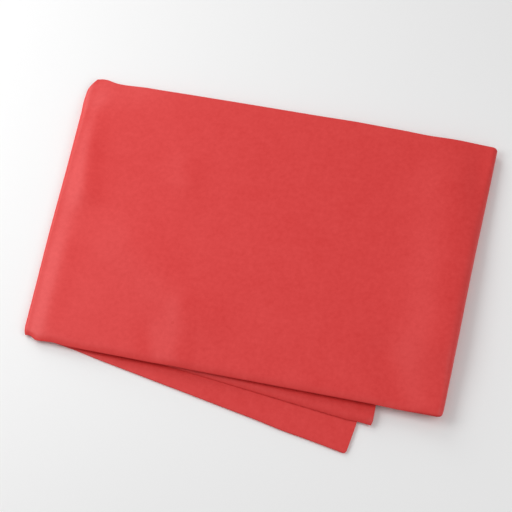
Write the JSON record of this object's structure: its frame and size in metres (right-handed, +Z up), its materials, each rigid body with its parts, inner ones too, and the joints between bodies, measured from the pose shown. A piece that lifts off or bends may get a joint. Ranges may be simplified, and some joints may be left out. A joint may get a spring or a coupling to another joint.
{
  "type": "folded length of non-woven cloth",
  "caption": "Plain red non-woven cloth, folded flat in a strip that doubles back on itself, with a tight fold at the left, a loose one at the right and lower layers fanned out at the near side.",
  "frame": {"origin": "middle of the cloth's footprint, on the surface that it lies on", "axes": "+Z up, +X along the long side with the tight fold at the low end, -Y towards the side where the lower layers fan out"},
  "size_m": [0.4055, 0.3374, 0.019],
  "materials": {
    "cloth": "matte spunbonded non-woven, plain red"
  },
  "bodies": {
    "root": {"folded_cloth": "cloth"}
  },
  "joints": []
}
